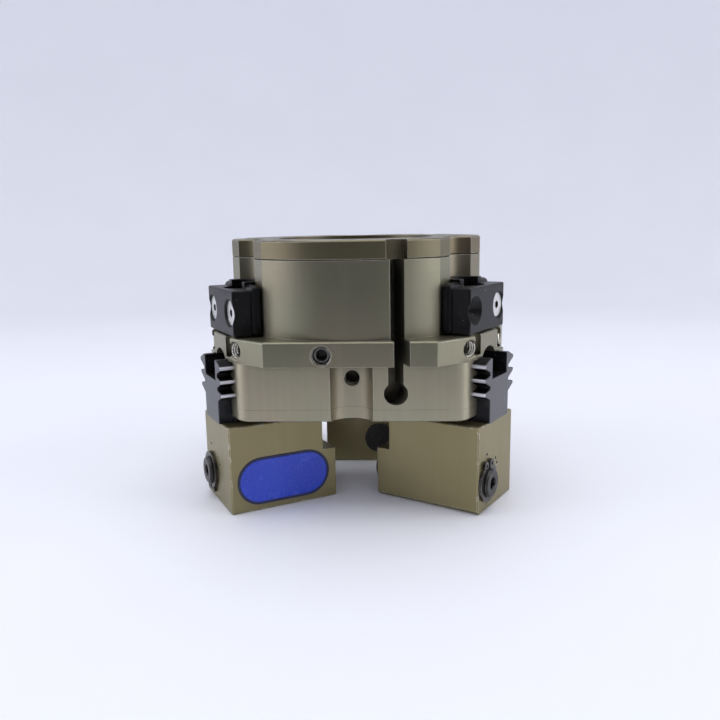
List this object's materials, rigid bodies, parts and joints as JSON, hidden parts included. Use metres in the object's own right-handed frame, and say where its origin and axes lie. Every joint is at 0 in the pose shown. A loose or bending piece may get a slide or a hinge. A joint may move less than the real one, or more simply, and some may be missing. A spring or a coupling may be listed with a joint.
{
  "type": "pneumatic gripper",
  "caption": "Centric pneumatic gripper: olive anodised housing, serrated base jaws, quick-change jaw blocks with lock shafts and sensor clamps.",
  "frame": {"origin": "centre of the mounting face on the cylinder cover", "axes": "+Z out of the mounting face, away from the jaws; jaw 2 lies along +Y; the flange's front face looks along -Y"},
  "size_m": [0.0894, 0.0835, 0.0733],
  "materials": {
    "anodised_housing": "satin olive hard anodising",
    "anodised_block": "satin olive-gold hard anodising",
    "dark_steel": "blackened hardened steel",
    "black_bracket": "black, fine matte",
    "zinc_screw": "zinc plated",
    "dark_screw": "black oxide",
    "ground_steel": "ground",
    "spring_steel": "phosphated spring steel",
    "piston_aluminium": "hard anodised, natural",
    "magnet": "bonded magnet",
    "seal_rubber": "nitrile",
    "label_blue": "plain blue enamel, no marks"
  },
  "bodies": {
    "housing_body": {"housing": "anodised_housing", "cylinder_cover": "anodised_housing", "cover_o_ring": "seal_rubber", "cover_screws": "zinc_screw", "port_plugs": "dark_screw", "rod_seal": "seal_rubber", "centre_cover": "dark_steel", "centre_cover_screws": "dark_screw", "clamp_saddle_1": "black_bracket", "sensor_bracket_1": "black_bracket", "bracket_screws_1": "zinc_screw", "clamp_saddle_2": "black_bracket", "sensor_bracket_2": "black_bracket", "bracket_screws_2": "zinc_screw", "clamp_saddle_3": "black_bracket", "sensor_bracket_3": "black_bracket", "bracket_screws_3": "zinc_screw"},
    "piston_body": {"piston": "piston_aluminium", "piston_seal": "seal_rubber", "piston_magnet": "magnet", "wedge_hook": "dark_steel", "hook_screw": "dark_screw"},
    "jaw_1": {"base_jaw_1": "dark_steel", "quick_change_base_1": "anodised_block", "jaw_screws_1": "dark_screw", "centring_sleeves_1": "ground_steel"},
    "lock_1": {"lock_shaft_1": "dark_steel", "retaining_ring_1": "spring_steel"},
    "jaw_2": {"base_jaw_2": "dark_steel", "quick_change_base_2": "anodised_block", "jaw_screws_2": "dark_screw", "centring_sleeves_2": "ground_steel"},
    "lock_2": {"lock_shaft_2": "dark_steel", "retaining_ring_2": "spring_steel"},
    "jaw_3": {"base_jaw_3": "dark_steel", "quick_change_base_3": "anodised_block", "jaw_screws_3": "dark_screw", "centring_sleeves_3": "ground_steel", "label_plate": "label_blue"},
    "lock_3": {"lock_shaft_3": "dark_steel", "retaining_ring_3": "spring_steel"}
  },
  "joints": [
    {"name": "piston_slide", "type": "slide", "parent": "housing_body", "child": "piston_body", "axis": [0, 0, 1], "range_m": [0, 0.008]},
    {"name": "jaw_1_slide", "type": "slide", "parent": "housing_body", "child": "jaw_1", "axis": [-0.866, 0.5, 0], "range_m": [0, 0.006]},
    {"name": "jaw_2_slide", "type": "slide", "parent": "housing_body", "child": "jaw_2", "axis": [0, -1, 0], "range_m": [0, 0.006]},
    {"name": "jaw_3_slide", "type": "slide", "parent": "housing_body", "child": "jaw_3", "axis": [0.866, 0.5, 0], "range_m": [0, 0.006]},
    {"name": "lock_1_turn", "type": "hinge", "parent": "jaw_1", "child": "lock_1", "pos_m": [0.03576, -0.02746, -0.0653], "axis": [-0.866, 0.5, 0], "range_deg": [0, 60]},
    {"name": "lock_2_turn", "type": "hinge", "parent": "jaw_2", "child": "lock_2", "pos_m": [0.0059, 0.0447, -0.0653], "axis": [0, -1, 0], "range_deg": [0, 60]},
    {"name": "lock_3_turn", "type": "hinge", "parent": "jaw_3", "child": "lock_3", "pos_m": [-0.04166, -0.01724, -0.0653], "axis": [0.866, 0.5, 0], "range_deg": [0, 60]}
  ],
  "couplings": [
    {"joint": "jaw_1_slide", "follows": "piston_slide", "ratio": 0.75},
    {"joint": "jaw_2_slide", "follows": "piston_slide", "ratio": 0.75},
    {"joint": "jaw_3_slide", "follows": "piston_slide", "ratio": 0.75}
  ]
}
